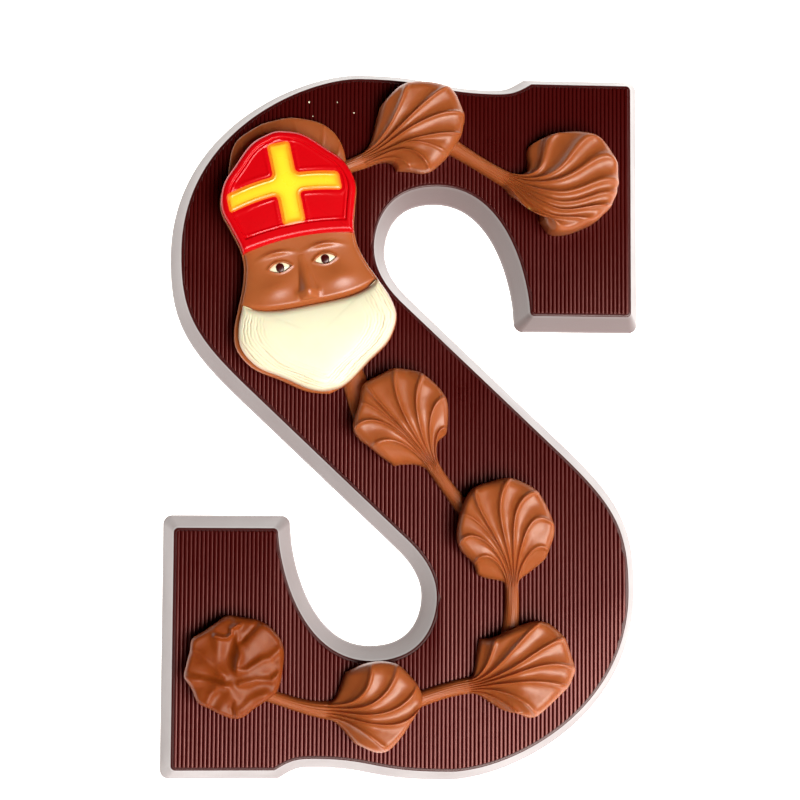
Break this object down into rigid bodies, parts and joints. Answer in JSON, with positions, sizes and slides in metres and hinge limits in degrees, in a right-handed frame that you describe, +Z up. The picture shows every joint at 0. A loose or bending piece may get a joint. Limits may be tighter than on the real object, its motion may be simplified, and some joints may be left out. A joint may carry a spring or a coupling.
{
  "type": "chocolate letter",
  "caption": "Dark chocolate slab letter S with a ribbed face, a garland of piped milk-chocolate shells and a moulded bishop's head with a red mitre, yellow cross and white beard.",
  "frame": {"origin": "middle of the letter's flat back, on the surface that it lies on", "axes": "+X to the right of the letter as it is read, +Y to its top, +Z up out of its face"},
  "size_m": [0.135, 0.201, 0.0216],
  "materials": {
    "dark_chocolate": "satin gloss, ribbed face",
    "milk_chocolate": "satin, piped or moulded",
    "red_chocolate": "glossy",
    "yellow_chocolate": "glossy",
    "white_chocolate": "satin"
  },
  "bodies": {
    "root": {"letter": "dark_chocolate", "shell_arm": "milk_chocolate", "shell_crown": "milk_chocolate", "bed": "milk_chocolate", "shell_waist": "milk_chocolate", "shell_spine": "milk_chocolate", "shell_bowl": "milk_chocolate", "shell_base": "milk_chocolate", "rosette": "milk_chocolate", "figure": "milk_chocolate", "mitre": "red_chocolate", "mitre_cross": "yellow_chocolate", "beard": "white_chocolate"}
  },
  "joints": []
}
